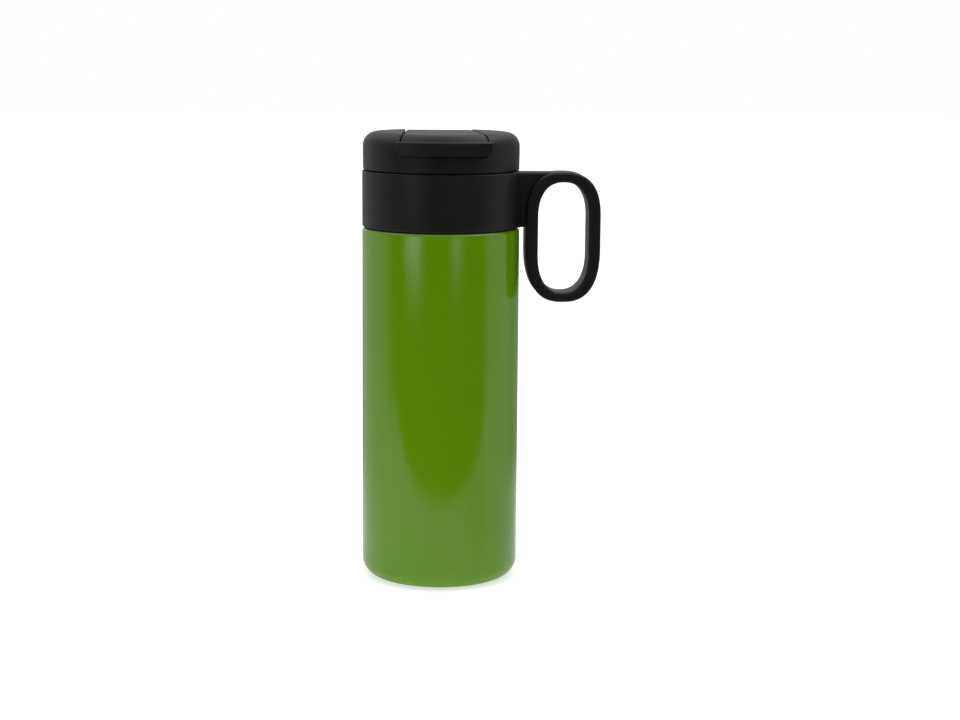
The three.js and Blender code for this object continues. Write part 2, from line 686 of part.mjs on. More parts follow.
add(bottle, "outer_shell", outerShell(), greenPaint);
add(bottle, "outer_bottom", outerBottom(), steel);
add(bottle, "vacuum_seal", vacuumSeal(), sealGlass);
add(bottle, "base_pad", puck(PAD_R, 0, PAD_H), blackSilicone);
add(bottle, "inner_vessel", innerVessel(), steel);
add(bottle, "getter_clip", getterClip(), steel);
add(bottle, "getter_tablet", getterTablet(), zirconium);
add(bottle, "handle_collar", handleCollar(), blackPlastic);
add(bottle, "neck_ring", neckRing(), blackPlastic);
add(bottle, "collar_seal", collarSeal(), greySilicone);

add(lid, "lid_shell", lidShell(), blackPlastic);
add(lid, "lid_insert", lidInsert(), blackPlastic);
add(lid, "lid_foam", lidFoam(), foam);
add(lid, "rim_gasket", rimGasket(), clearSilicone);
add(lid, "plug_gasket", plugGasket(), clearSilicone);
add(lid, "duct_gasket", ductGasket(), greySilicone);
add(lid, "hinge_pin", barX(PIN_R, PIN_LENGTH, 0, 0), steel, [0, HINGE_Y, HINGE_Z]);

add(cap, "flip_cap", flipCap(), blackPlastic);
add(cap, "spout_stopper", spoutStopper(), greySilicone);
add(cap, "vent_stopper", ventStopper(), greySilicone, [0, VENT_Y, 0]);

export default flask;
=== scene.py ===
"""Looks for the vacuum flask: finer meshes over the CAD pieces, materials, studio and camera.

Profiles are in millimetres, in the CAD's frame: +Z up the bottle's axis, +X to the handle and -Y to the
finger tab.
"""

import math

import bmesh
import bpy
import numpy as np
from mathutils import Matrix, Vector


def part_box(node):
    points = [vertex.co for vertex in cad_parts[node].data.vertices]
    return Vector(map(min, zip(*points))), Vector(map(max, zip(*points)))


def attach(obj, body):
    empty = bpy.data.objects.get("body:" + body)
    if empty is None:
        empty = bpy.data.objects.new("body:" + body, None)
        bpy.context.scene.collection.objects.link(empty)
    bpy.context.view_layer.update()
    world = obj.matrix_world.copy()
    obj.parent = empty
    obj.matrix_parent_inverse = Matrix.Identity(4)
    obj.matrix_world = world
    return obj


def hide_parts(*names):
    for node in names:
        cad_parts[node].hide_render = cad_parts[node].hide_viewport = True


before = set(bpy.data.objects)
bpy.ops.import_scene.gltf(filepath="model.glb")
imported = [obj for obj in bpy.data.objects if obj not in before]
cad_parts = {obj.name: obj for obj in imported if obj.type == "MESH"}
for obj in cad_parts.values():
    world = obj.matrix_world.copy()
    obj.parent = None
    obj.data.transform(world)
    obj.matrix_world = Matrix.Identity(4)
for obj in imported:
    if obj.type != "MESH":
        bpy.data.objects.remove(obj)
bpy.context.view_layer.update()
MM = 0.001


def cad(node):
    """Lowest and highest corner of a CAD node, in millimetres."""
    low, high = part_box(node)
    return np.array(low) / MM, np.array(high) / MM


# ---------------------------------------------------------------- sizes

SHELL = cad("outer_shell")
COLLAR = cad("handle_collar")
LID = cad("lid_shell")
INSERT = cad("lid_insert")
PAD = cad("base_pad")
PIN = cad("hinge_pin")
CAP = cad("flip_cap")

SHEET = 0.5  # steel wall
GAP = 0.3  # between parts that fit together
HAIR = 0.15  # between a seal and its seat
AXIS_R = 0.4  # inner radius of a closed skin that reaches the axis
CENTRE = 0.0001  # inner radius of a cutter's end discs

BODY_R = SHELL[1][0]
BASE_Z = SHELL[0][2]
BASE_FILLET = 7.5
SHOULDER_Z = 153.9
SHOULDER_FILLET = 1.6
NECK_OUT_R = 29.2
NECK_R = 27.0
LIP_Z = 176.0
SEAT_R = 23.0
SEAT_Z = 157.3
LINER_R = 30.3
LINER_FLOOR_Z = 9.6
LINER_FILLET = 8.0
LINER_BEND_Z = 142.0
NECK_BEAD_Z = 166.0

LEAD = 8.0
STARTS = 2
THREAD_TURNS = 0.65
THREAD_START_Z = 165.5
THREAD_DROP = 1.5  # how far the plug's thread starts below the neck's
THREAD_SUNK = 0.25  # how far a ridge reaches into its wall
NECK_CREST_R = 26.0
PLUG_CREST_R = 26.7

COLLAR_R = -COLLAR[0][0]
COLLAR_Z = (154.15, COLLAR[1][2])
COLLAR_WALL = 2.15
COLLAR_MOUTH_R = 30.6
COLLAR_LEDGE = 1.8
# Straight sides with superelliptic ends: extent along X and Z, height of the lower and upper end, exponent.
LOOP = {"x": (36.4, COLLAR[1][0]), "z": (COLLAR[0][2], 178.1), "ends": (24.3, 19.8), "power": 2.55}
HOLE = {"x": (41.7, 63.7), "z": (125.9, 173.7), "ends": (16.9, 15.4), "power": 2.35}
LOOP_DEPTH = 15.5
LOOP_EDGE = 1.2
BRACKET_HALF = 6.0
BRACKET_EDGE = 1.1

TOP_Z = LID[1][2]
LID_R = LID[1][0]
LID_FOOT_Z = LID[0][2]
LID_FOOT_R = 33.7
LID_FILLET = 6.0
LID_WALL = 2.0
TRAY_Z = 190.2  # floor of the channel for the flip cap
TRAY_H = 1.8
CHANNEL_GAP = 0.4
CHANNEL_EDGE = 0.35
CHANNEL_WALL = 1.6
SPOUT_Y = -16.2
SPOUT_HALF = 4.6
SPOUT_R = 4.2
SPOUT_LIP = 0.8
VENT_Y = 9.0
VENT_R = 1.1
VENT_LIP = 0.6
LIP_ROOT = 0.3  # how far a lip reaches into the tray
LIP_DRAFT = {"spout_lip": 0.2, "vent_lip": 0.1}  # how far a lip's side leans in
HINGE_Y = (PIN[0][1] + PIN[1][1]) / 2
HINGE_Z = (PIN[0][2] + PIN[1][2]) / 2
KNUCKLE_R = 3.3
HINGE_SEAT = 1.3  # wall round the knuckle
PIN_BORE_R = 1.2

PLUG_WALL = 1.6
PLUG_R = 25.7
PLUG_FOOT_R = 23.8
GROOVE_R = 22.8
GROOVE_Z = (158.9, 161.9)
FLANGE_Z = 177.6
DUCT_WALL = 1.2
DUCT_TOP_Z = 187.3

CAP_DROP = 0.2
CAP_UNDER_Z = 191.8
CAP_MID_HALF = 15.85
CAP_TAPER = 0.0604
FLARE_Y = (-24.0, -27.4)
STRAP_FRONT_HALF = 18.5
STRAP_EDGE = 0.9
TAB_HALF = 20.2
TAB_EDGE = 0.8
TAB_LOW_EDGE = 0.25
TAB_SIDE_EDGE = 0.6
TAB_Z = (CAP[0][2], 192.0)
TAB_FRONT_Y = CAP[0][1]
TAB_FACE_R = 48.0
TAB_CORNER = 3.4
TAB_CLEAR = 0.55  # between the skirt and the tab's back
ROOT_RISE = 0.55  # how far above the tab's top the strap's shoulder ends
RECESS_HALF = 19.4  # finger recess in the skirt behind the tab
RECESS_DEPTH = 1.0
RECESS_Z = (TAB_Z[0] - 0.95, TAB_Z[0] + 2.6)

ROUND = 192  # segments of a large turned piece
FINEST = 256  # segments of a piece that shows its outline
SMALL = 64
SHARP = math.radians(38)  # edges that turn more than this are shaded sharp
PAST = 1.0  # how far a cutter reaches past the solid it cuts


# ---------------------------------------------------------------- mesh helpers


def filleted(corners, closed=False, steps=6, even=False):
    """A polyline through corners (u, v) or (u, v, radius), with each radius turned into an arc.

    Steps is the number of segments in a right angle, or in every arc if even is set.
    """
    points = []
    count = len(corners)
    for i, corner in enumerate(corners):
        here = np.array(corner[:2], float)
        radius = corner[2] if len(corner) > 2 else 0
        ends = not closed and i in (0, count - 1)
        if radius == 0 or ends:
            points.append(here)
            continue
        to_last = np.array(corners[i - 1][:2], float) - here
        to_next = np.array(corners[(i + 1) % count][:2], float) - here
        to_last /= np.linalg.norm(to_last)
        to_next /= np.linalg.norm(to_next)
        half = math.acos(np.clip(to_last @ to_next, -1, 1)) / 2
        if half > math.pi / 2 - 1e-3 and not even:
            points.append(here)
            continue
        middle = to_last + to_next
        centre = here + middle / np.linalg.norm(middle) * radius / math.sin(half)
        start = here + to_last * radius / math.tan(half) - centre
        end = here + to_next * radius / math.tan(half) - centre
        turn = math.pi - 2 * half
        side = np.sign(start[0] * end[1] - start[1] * end[0])
        arc_steps = steps if even else max(2, round(steps * turn / (math.pi / 2)))
        for k in range(arc_steps + 1):
            a = side * turn * k / arc_steps
            c, s = math.cos(a), math.sin(a)
            points.append(centre + np.array([c * start[0] - s * start[1], s * start[0] + c * start[1]]))
    return points


def mesh_object(name, vertices, faces):
    mesh = bpy.data.meshes.new(name)
    mesh.from_pydata([Vector(v) * MM for v in vertices], [], faces)
    bm = bmesh.new()
    bm.from_mesh(mesh)
    bmesh.ops.recalc_face_normals(bm, faces=bm.faces)
    bm.to_mesh(mesh)
    bm.free()
    obj = bpy.data.objects.new(name, mesh)
    bpy.context.scene.collection.objects.link(obj)
    return obj


def ring_mesh(name, rings, closed):
    """A skin over rings of equal count, closed by joining its last ring to its first, or with capped ends."""
    count = len(rings[0])
    vertices = [tuple(p) for ring in rings for p in ring]
    faces = []
    spans = len(rings) if closed else len(rings) - 1
    for i in range(spans):
        a, b = i * count, ((i + 1) % len(rings)) * count
        for k in range(count):
            n = (k + 1) % count
            faces.append((a + k, a + n, b + n, b + k))
    if not closed:
        faces.append(tuple(range(count))[::-1])
        faces.append(tuple(range((len(rings) - 1) * count, len(rings) * count)))
    return mesh_object(name, vertices, faces)


def turned(name, profile, closed=True, segments=ROUND):
    """A profile of (r, z) points turned round the Z axis. An open one is capped by flat discs at its ends."""
    angles = [2 * math.pi * k / segments for k in range(segments)]
    rings = [[(r * math.cos(a), r * math.sin(a), z) for a in angles] for r, z in profile]
    return ring_mesh(name, rings, closed)


def slot_ring(radius, z, y=SPOUT_Y, half=SPOUT_HALF, segments=SMALL):
    """A stadium outline at height z: half circles of the radius, with straight sides between them along X."""
    ring = []
    for k in range(segments):
        a = 2 * math.pi * (k + 0.5) / segments
        side = half if math.cos(a) > 0 else -half
        ring.append((side + radius * math.cos(a), y + radius * math.sin(a), z))
    return ring


def slot_solid(name, profile, y=SPOUT_Y, half=SPOUT_HALF, closed=False):
    return ring_mesh(name, [slot_ring(r, z, y, half) for r, z in profile], closed)


def prism(name, outline, low, high):
    return ring_mesh(name, [[(x, y, low) for x, y in outline], [(x, y, high) for x, y in outline]], False)


def bar_x(name, radius, half, y, z, segments=SMALL):
    angles = [2 * math.pi * k / segments for k in range(segments)]
    rings = [[(x, y + radius * math.cos(a), z + radius * math.sin(a)) for a in angles] for x in (-half, half)]
    return ring_mesh(name, rings, False)


def combine(obj, other, operation):
    """Applies a boolean to obj and removes the other object."""
    modifier = obj.modifiers.new("cut", "BOOLEAN")
    modifier.operation = operation
    modifier.object = other
    modifier.solver = "EXACT"
    bake(obj)
    bpy.data.objects.remove(other)
    return obj


def bake(obj):
    """Turns an object's modifiers into its mesh."""
    shown = obj.evaluated_get(bpy.context.evaluated_depsgraph_get())
    mesh = bpy.data.meshes.new_from_object(shown)
    obj.modifiers.clear()
    obj.data = mesh


def split(obj, axis, places):
    """Divides an object's faces along planes across an axis, so that an end face can bend there."""
    normal = Vector([float(axis == i) for i in range(3)])
    bm = bmesh.new()
    bm.from_mesh(obj.data)
    for place in places:
        parts = bm.verts[:] + bm.edges[:] + bm.faces[:]
        bmesh.ops.bisect_plane(bm, geom=parts, dist=1e-7, plane_co=normal * place * MM, plane_no=normal)
    bm.to_mesh(obj.data)
    bm.free()
    return obj


def thread(name, root_r, crest_r, start_z):
    """The ridges of a right-hand thread, as one object. Each sinks into its wall and fades at its ends."""
    steps = 96
    fade_steps = 9
    base, crest, edge = 1.7, 0.9, 0.25
    sunk = root_r + math.copysign(THREAD_SUNK, root_r - crest_r)
    parts = []
    for start in range(STARTS):
        rings = []
        for i in range(steps + 1):
            turn = THREAD_TURNS * i / steps
            fade = min(1.0, min(i, steps - i) / fade_steps + 0.08)
            height = math.sin(fade * math.pi / 2)
            angle = 2 * math.pi * (turn + start / STARTS)
            z = start_z + LEAD * turn
            tip = root_r + (crest_r - root_r) * height
            section = filleted(
                [(sunk, -base / 2), (tip, -crest / 2, edge), (tip, crest / 2, edge), (sunk, base / 2)],
                closed=True,
                steps=3,
            )
            rings.append([(r * math.cos(angle), r * math.sin(angle), z + rise) for r, rise in section])
        parts.append(ring_mesh(name, rings, False))
    return joined(parts)


def joined(objects):
    first = objects[0]
    if len(objects) == 1:
        return first
    with bpy.context.temp_override(
        active_object=first, selected_editable_objects=objects, selected_objects=objects, object=first
    ):
        bpy.ops.object.join()
    return first


def loop_curve(shape, angles):
    """A loop outline through these angles of its upper end, then of its lower end."""
    (x0, x1), (z0, z1), (low, high) = shape["x"], shape["z"], shape["ends"]

    def bulge(value):
        return np.sign(value) * np.abs(value) ** (2 / shape["power"])

    x = (x0 + x1) / 2 + (x1 - x0) / 2 * bulge(np.cos(angles))
    rise = bulge(np.sin(angles))
    upper = np.stack([x, z1 - high + high * rise], 1)
    lower = np.stack([x, z0 + low - low * rise], 1)
    return np.concatenate([upper, lower[::-1]])


def even_angles(shape, count):
    """Angles from 0 to 180 degrees that space points evenly along the outline's upper end."""
    fine = np.linspace(0, math.pi, 4001)
    upper = loop_curve(shape, fine)[: len(fine)]
    length = np.concatenate([[0], np.cumsum(np.linalg.norm(np.diff(upper, axis=0), axis=1))])
    return np.interp(np.linspace(0, length[-1], count), length, fine)


def piece(obj, body, material, node):
    """Names a finished object after its CAD node and puts it on its body."""
    obj.name = f"{node}_look"
    obj.data.materials.clear()
    obj.data.materials.append(material)
    obj.data.shade_smooth()
    obj.data.set_sharp_from_angle(angle=SHARP)
    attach(obj, body)
    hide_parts(node)
    return obj


# ---------------------------------------------------------------- materials


class Shader:
    """Builds a node material. A value in a node call is a number, a colour, or another node's output."""

    def __init__(self, name):
        self.material = bpy.data.materials.new(name)
        self.material.use_nodes = True
        self.tree = self.material.node_tree
        self.surface = self.tree.nodes["Principled BSDF"]
        self.place = self.node("ShaderNodeTexCoord").outputs["Object"]

    def node(self, kind, settings=None, **inputs):
        made = self.tree.nodes.new(kind)
        for key, value in (settings or {}).items():
            setattr(made, key, value)
        for key, value in inputs.items():
            self.feed(made, key, value)
        return made

    def feed(self, node, key, value):
        name = key.replace("_", " ")
        socket = node.inputs[int(name[1:])] if name[1:].isdigit() and name[0] == "i" else node.inputs[name]
        if isinstance(value, bpy.types.NodeSocket):
            self.tree.links.new(value, socket)
        else:
            socket.default_value = value

    def noise(self, size_mm, detail=2.0, stretch=(1, 1, 1), roughness=0.5):
        """Noise with features of about size_mm. Stretch above 1 draws the features out along that axis."""
        mapping = self.node("ShaderNodeMapping", Vector=self.place, Scale=tuple(1 / s for s in stretch))
        made = self.node(
            "ShaderNodeTexNoise",
            Vector=mapping.outputs[0],
            Scale=1 / (size_mm * MM),
            Detail=detail,
            Roughness=roughness,
        )
        return made.outputs["Fac"]

    def between(self, value, low, high, from_low=0.3, from_high=0.7):
        """Maps a 0..1 value to low..high."""
        source = {"From_Min": from_low, "From_Max": from_high}
        return self.node("ShaderNodeMapRange", Value=value, To_Min=low, To_Max=high, **source).outputs[0]

    def mixed(self, value, first, second):
        """The first colour where the value is 0 and the second where it is 1. Each is a socket or an RGBA."""
        return self.node("ShaderNodeMix", {"data_type": "RGBA"}, i0=value, i6=first, i7=second).outputs[2]

    def colours(self, value, first, second):
        return self.mixed(value, (*first, 1), (*second, 1))

    def choice(self, value, first, second):
        """The first number where the value is 0 and the second where it is 1."""
        return self.node("ShaderNodeMix", {"data_type": "FLOAT"}, i0=value, i2=first, i3=second).outputs[0]

    def math(self, operation, *values):
        made = self.node("ShaderNodeMath", {"operation": operation})
        for i, value in enumerate(values):
            self.feed(made, f"i{i}", value)
        return made.outputs[0]

    def ramp(self, value, start, end):
        """A smooth rise from 0 at start to 1 at end."""
        smooth = {"interpolation_type": "SMOOTHSTEP"}
        return self.node("ShaderNodeMapRange", smooth, Value=value, From_Min=start, From_Max=end).outputs[0]

    def bump(self, height, depth_mm, strength=1.0, normal=None):
        made = self.node("ShaderNodeBump", Height=height, Distance=depth_mm * MM, Strength=strength)
        if normal:
            self.feed(made, "Normal", normal)
        return made.outputs[0]

    def finish(self, **inputs):
        for key, value in inputs.items():
            self.feed(self.surface, key, value)
        return self.material


def lacquer():
    """Satin green lacquer: slight orange peel, faint clouding of its tone and gloss, scuffs near the base."""
    s = Shader("green_lacquer")
    cloud = s.noise(22, 3)
    peel = s.noise(1.1, 2)
    grain = s.noise(0.16, 1)
    height = s.node("ShaderNodeSeparateXYZ", Vector=s.place).outputs["Z"]
    near_base = s.between(height, 1, 0, *(z * MM for z in SCUFFED_Z))
    scratch = s.noise(0.9, 3, stretch=(7, 7, 0.6))
    scuff = s.math("MULTIPLY", s.between(scratch, 0, 1, 0.60, 0.72), near_base)
    clean = s.colours(s.between(cloud, 0, 1), GREEN_DEEP, GREEN)
    colour = s.mixed(scuff, clean, (*GREEN_SCUFFED, 1))
    dulled = s.math("MULTIPLY_ADD", scuff, 0.12, s.between(cloud, 0.09, 0.12))
    normal = s.bump(grain, 0.002, 0.5, s.bump(peel, 0.006, 0.5))
    return s.finish(Base_Color=colour, Roughness=dulled, Normal=normal, IOR=1.5)


def black_plastic():
    """Moulded black plastic with a fine spark-eroded texture, worn a little smoother in patches."""
    s = Shader("black_plastic")
    patches = s.noise(9, 4)
    texture = s.noise(0.28, 3, roughness=0.6)
    colour = s.colours(s.between(patches, 0, 1), *PLASTIC_TONES)
    rough = s.between(patches, 0.40, 0.47)
    s.surface.inputs["Specular IOR Level"].default_value = 0.24
    return s.finish(Base_Color=colour, Roughness=rough, Normal=s.bump(texture, 0.02, 0.4), IOR=1.5)


def steel(name, along):
    """Brushed stainless steel. Along gives the stretch of the brushing marks on X, Y and Z."""
    s = Shader(name)
    lines = s.noise(0.35, 4, stretch=along)
    cloud = s.noise(14, 3)
    colour = s.colours(s.between(cloud, 0, 1), *STEEL_TONES)
    rough = s.between(lines, 0.22, 0.36)
    return s.finish(Base_Color=colour, Roughness=rough, Metallic=1.0, Normal=s.bump(lines, 0.004, 0.6))


def silicone(name, dark, light, clarity=0.0):
    """Soft rubber: matt, with a faint moulded grain and a trace of dust."""
    s = Shader(name)
    cloud = s.noise(5, 3)
    grain = s.noise(0.25, 2)
    colour = s.colours(s.between(cloud, 0, 1), dark, light)
    s.surface.inputs["Subsurface Scale"].default_value = 1.2 * MM
    return s.finish(
        Base_Color=colour,
        Roughness=s.between(cloud, 0.42, 0.56),
        Normal=s.bump(grain, 0.01, 0.4),
        Subsurface_Weight=0.3 + clarity / 2,
        Transmission_Weight=clarity,
    )


def rough_solid(name, dark, light, size, depth, metallic=0.0, roughness=(0.6, 0.85)):
    """Foam, pressed powder or solder glass: a grainy solid."""
    s = Shader(name)
    cells = s.noise(size, 4)
    colour = s.colours(s.between(cells, 0, 1), dark, light)
    rough = s.between(cells, *roughness)
    return s.finish(Base_Color=colour, Roughness=rough, Metallic=metallic, Normal=s.bump(cells, depth, 0.8))


GREEN = (0.089, 0.205, 0.0004)
GREEN_DEEP = (0.084, 0.196, 0.0003)
GREEN_SCUFFED = (0.16, 0.27, 0.05)
SCUFFED_Z = (1, 12)  # scuffs fade out between these heights
PLASTIC_TONES = ((0.0044, 0.0044, 0.0041), (0.0058, 0.0058, 0.0054))
STEEL_TONES = ((0.56, 0.57, 0.58), (0.66, 0.66, 0.67))

LACQUER = lacquer()
PLASTIC = black_plastic()
STEEL = steel("brushed_steel", (9, 9, 1))
STEEL_PIN = steel("ground_steel", (14, 1, 1))
CLEAR = silicone("clear_silicone", (0.62, 0.62, 0.59), (0.72, 0.72, 0.69), clarity=0.35)
GREY = silicone("grey_silicone", (0.07, 0.073, 0.076), (0.095, 0.098, 0.10))
BLACK = silicone("black_silicone", (0.012, 0.012, 0.012), (0.022, 0.022, 0.022))
FOAM = rough_solid("white_foam", (0.62, 0.61, 0.57), (0.80, 0.79, 0.75), 0.9, 0.25)
POWDER = rough_solid("getter_powder", (0.10, 0.10, 0.105), (0.16, 0.16, 0.165), 0.3, 0.06, 0.4)
GLASS = rough_solid("solder_glass", (0.02, 0.04, 0.03), (0.04, 0.07, 0.05), 1.6, 0.03, 0.0, (0.08, 0.2))


# ---------------------------------------------------------------- bottle


def outer_shell():
    foot_r = PAD[1][0] + GAP
    hem_z = BASE_Z + 2.3
    neck_top = LIP_Z - SHEET - 0.2
    bead, bead_half = 0.5, 1.2
    profile = filleted(
        [
            (foot_r, hem_z),
            (foot_r, BASE_Z, 0.7),
            (BODY_R, BASE_Z, BASE_FILLET),
            (BODY_R, SHOULDER_Z, SHOULDER_FILLET),
            (NECK_OUT_R, SHOULDER_Z, 0.5),
            (NECK_OUT_R, NECK_BEAD_Z - bead_half, 1.0),
            (NECK_OUT_R + bead, NECK_BEAD_Z, 0.6),
            (NECK_OUT_R, NECK_BEAD_Z + bead_half, 1.0),
            (NECK_OUT_R, neck_top),
            (NECK_OUT_R - SHEET, neck_top),
            (NECK_OUT_R - SHEET, SHOULDER_Z - SHEET, 0.8),
            (BODY_R - SHEET, SHOULDER_Z - SHEET, SHOULDER_FILLET - SHEET),
            (BODY_R - SHEET, BASE_Z + SHEET, BASE_FILLET - SHEET),
            (foot_r + SHEET, BASE_Z + SHEET, 0.2),
            (foot_r + SHEET, hem_z),
        ],
        closed=True,
        steps=14,
    )
    return turned("shell", profile, segments=FINEST)


def inner_vessel():
    bend = 14
    waist_z = SEAT_Z - 1.6
    lip_r = NECK_OUT_R + 0.1
    inside = filleted(
        [
            (AXIS_R, LINER_FLOOR_Z),
            (LINER_R, LINER_FLOOR_Z, LINER_FILLET),
            (LINER_R, LINER_BEND_Z, bend),
            (SEAT_R, waist_z, 1.2),
            (SEAT_R, SEAT_Z, 0.4),
            (NECK_R, SEAT_Z, 0.4),
            (NECK_R, LIP_Z, 0.7),
            (lip_r, LIP_Z, 0.2),
            (lip_r, LIP_Z - SHEET, 0.2),
            (NECK_R + SHEET, LIP_Z - SHEET, 0.3),
            (NECK_R + SHEET, SEAT_Z - SHEET, 0.3),
            (SEAT_R + SHEET, SEAT_Z - SHEET, 0.3),
            (SEAT_R + SHEET, waist_z, 1.2),
            (LINER_R + SHEET, LINER_BEND_Z, bend),
            (LINER_R + SHEET, LINER_FLOOR_Z - SHEET, LINER_FILLET + SHEET),
            (AXIS_R, LINER_FLOOR_Z - SHEET),
        ],
        closed=True,
        steps=10,
    )
    wall = turned("vessel", inside)
    return joined([wall, thread("ridge", NECK_R, NECK_CREST_R, THREAD_START_Z)])


def base_pad():
    """A soft disc with three shallow rings moulded into its underside."""
    low, high = PAD[0][2], PAD[1][2]
    depth, width, slope, edge = 0.5, 1.8, 0.3, 0.3
    middle = 0.3
    corners = [(middle, low)]
    for r in (7.0, 13.0, 19.0):
        corners += [(r, low, edge), (r + slope, low + depth, edge)]
        corners += [(r + width - slope, low + depth, edge), (r + width, low, edge)]
    corners += [(PAD[1][0], low, 0.5), (PAD[1][0], high, 0.2), (middle, high)]
    return turned("pad", filleted(corners, steps=4), closed=True)


# ---------------------------------------------------------------- collar and handle


def collar_sleeve():
    foot, top = COLLAR_Z
    wall_r = COLLAR_R - COLLAR_WALL
    profile = filleted(
        [
            (wall_r, foot, 0.2),
            (COLLAR_R - 0.06, foot, 0.9),
            (COLLAR_R, top, 0.45),
            (COLLAR_MOUTH_R, top, 0.4),
            (COLLAR_MOUTH_R, top - COLLAR_LEDGE, 0.2),
            (wall_r, top - COLLAR_LEDGE, 0.2),
        ],
        closed=True,
        steps=8,
    )
    return turned("sleeve", profile, segments=FINEST)


def loop():
    """The handle's flat band: a rounded section carried round between the loop's and the hole's outline."""
    angles = even_angles(LOOP, 110)
    half, edge = LOOP_DEPTH / 2, LOOP_EDGE
    rings = []
    for outer, inner in zip(loop_curve(LOOP, angles), loop_curve(HOLE, angles)):
        width = np.linalg.norm(outer - inner)
        corners = [(0, -half, edge), (width, -half, edge), (width, half, edge), (0, half, edge)]
        section = filleted(corners, closed=True, steps=6)
        places = [(inner + (outer - inner) / width * across, y) for across, y in section]
        rings.append([(place[0], y, place[1]) for place, y in places])
    return ring_mesh("loop", rings, True)


def bracket():
    """The plate between the collar and the loop. It flares where it meets the collar."""
    flare = 1.4
    inset = 0.6
    low, high = COLLAR_Z[0] + 0.1, LOOP["z"][1] - 0.1
    section = filleted(
        [
            (-BRACKET_HALF, low, BRACKET_EDGE),
            (BRACKET_HALF, low, BRACKET_EDGE),
            (BRACKET_HALF, high, BRACKET_EDGE),
            (-BRACKET_HALF, high, BRACKET_EDGE),
        ],
        closed=True,
        steps=6,
    )
    far = sum(LOOP["x"]) / 2
    flare_steps = 6
    last = flare_steps + 2  # the first ring is inside the collar and the last one in the loop's middle
    rings = []
    for k in range(last + 1):
        out = 1 - min(1, max(0, k - 1) / flare_steps)
        reach = 0 if k == 0 else inset + flare * (1 - out)
        spread = flare * (1 - math.sqrt(1 - out**2))
        ring = []
        for y, z in section:
            x = far if k == last else math.sqrt(COLLAR_R**2 - y**2) - inset + reach
            ring.append((x, y + math.copysign(spread, y), z))
        rings.append(ring)
    plate = ring_mesh("bracket", rings, False)
    middle = {key: tuple((a + b) / 2 for a, b in zip(LOOP[key], HOLE[key])) for key in ("x", "z", "ends")}
    outline = loop_curve({**middle, "power": LOOP["power"]}, even_angles(LOOP, 80))
    inside = ring_mesh("inside", [[(x, y, z) for x, z in outline] for y in (-LOOP_DEPTH, LOOP_DEPTH)], False)
    return combine(plate, inside, "DIFFERENCE")


def handle_collar():
    whole = combine(collar_sleeve(), bracket(), "UNION")
    return combine(whole, loop(), "UNION")


# ---------------------------------------------------------------- lid


def strap_half(y):
    """Half-width of the flip cap at a place along Y: it tapers to the hinge and flares to the tab."""
    if y > FLARE_Y[0]:
        return CAP_MID_HALF - CAP_TAPER * y
    return float(np.interp(y, FLARE_Y[::-1], [STRAP_FRONT_HALF, CAP_MID_HALF - CAP_TAPER * FLARE_Y[0]]))


def channel_outline(margin):
    """The flip cap's outline from above with a margin at its sides, run on past the lid's front and back."""
    stations = [60.0, HINGE_Y, 0.0, -20.0, FLARE_Y[0], -25.2, -26.4, FLARE_Y[1], -40.0]
    right = [(strap_half(min(y, HINGE_Y)) + margin, y) for y in stations]
    return right + [(-x, y) for x, y in reversed(right)]


def channel():
    """The space cut from the lid for the flip cap, flared at the top so that its rim is rounded."""
    steps = [math.pi / 2 * k / 5 for k in range(6)]
    rim = [(TOP_Z - CHANNEL_EDGE * (1 - math.sin(a)), CHANNEL_EDGE * (1 - math.cos(a))) for a in steps]
    levels = [(TRAY_Z, 0.0)] + rim + [(TOP_Z + 3, CHANNEL_EDGE)]
    rings = [[(x, y, z) for x, y in channel_outline(CHANNEL_GAP + flare)] for z, flare in levels]
    return ring_mesh("channel", rings, False)


def lid_form():
    """The lid with its hollow, and no channel yet."""
    inner = LID_R - LID_WALL
    profile = [
        (AXIS_R, TOP_Z),
        (LID_R, TOP_Z, LID_FILLET),
        (LID_R, 186.0, 40),
        (LID_FOOT_R, LID_FOOT_Z, 0.35),
        (inner, LID_FOOT_Z, 0.2),
        (inner, TOP_Z - LID_WALL, LID_FILLET - LID_WALL),
        (AXIS_R, TOP_Z - LID_WALL),
    ]
    return turned("lid", filleted(profile, closed=True, steps=16), segments=FINEST)


def knuckle_bar(name, wall, side):
    """A bar round the hinge's axis, wider than the knuckle by wall and longer by side at each end."""
    return bar_x(name, KNUCKLE_R + wall, strap_half(HINGE_Y) + side, HINGE_Y, HINGE_Z)


def tray():
    """The block in the lid's hollow that the channel is cut from."""
    wall = CHANNEL_GAP + CHANNEL_WALL
    block = prism("tray", channel_outline(wall), TRAY_Z - TRAY_H, TOP_Z + PAST)
    block = combine(block, knuckle_bar("seat", GAP + HINGE_SEAT, wall), "UNION")
    sunk = 0.4  # how far the block reaches into the lid's wall
    r, top = LID_R - LID_WALL + sunk, TOP_Z - LID_WALL + sunk
    corners = [(CENTRE, LID_FOOT_Z), (r, LID_FOOT_Z), (r, top, LID_FILLET - LID_WALL), (CENTRE, top)]
    inside = turned("inside", filleted(corners, steps=8), closed=False)
    return combine(block, inside, "INTERSECT")


def lip(name, hole_r, outer_r, height, edges, y, half):
    """A low rim round a hole in the tray. Edges are the rounding of its outer and inner edge."""
    corners = [
        (hole_r, -LIP_ROOT),
        (outer_r, -LIP_ROOT),
        (outer_r - LIP_DRAFT[name], height, edges[0]),
        (hole_r, height, edges[1]),
    ]
    profile = [(r, TRAY_Z + z) for r, z in filleted(corners, closed=True)]
    return slot_solid(name, profile, y, half, closed=True)


